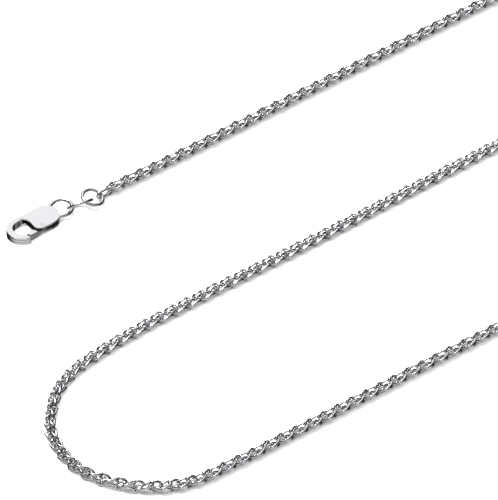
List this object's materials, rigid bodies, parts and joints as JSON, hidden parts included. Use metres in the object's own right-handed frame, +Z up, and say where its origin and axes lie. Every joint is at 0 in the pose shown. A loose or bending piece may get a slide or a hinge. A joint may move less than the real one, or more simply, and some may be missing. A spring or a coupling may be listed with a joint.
{
  "type": "wheat chain necklace",
  "caption": "Silver-coloured wheat chain necklace with a lobster claw clasp on small jump rings, lying open in a long S on a flat surface, with a plain ring on its free end.",
  "frame": {"origin": "centre of the overall box on the surface that the necklace lies on", "axes": "+X along the long strands, away from the clasp; +Y from the free end's strand towards the clasp's strand; +Z up"},
  "size_m": [0.1507, 0.0621, 0.0031],
  "materials": {
    "chain_silver": "polished silver",
    "clasp_silver": "mirror-polished silver",
    "ring_silver": "polished silver"
  },
  "bodies": {
    "necklace": {"chain": "chain_silver", "first_link": "chain_silver", "last_link": "chain_silver", "clasp_body": "clasp_silver", "lever_pin": "clasp_silver", "clasp_ring": "ring_silver", "middle_ring": "ring_silver", "chain_ring": "ring_silver", "end_ring": "ring_silver"},
    "lever": {"clasp_lever": "clasp_silver"}
  },
  "joints": [
    {"name": "lever_hinge", "type": "hinge", "parent": "necklace", "child": "lever", "pos_m": [-0.04724, 0.02735, 0.0006], "axis": [0, 0, -1], "range_deg": [0, 25], "stiffness_Nm_per_rad": 0.0005, "springref_deg": -8.59}
  ]
}
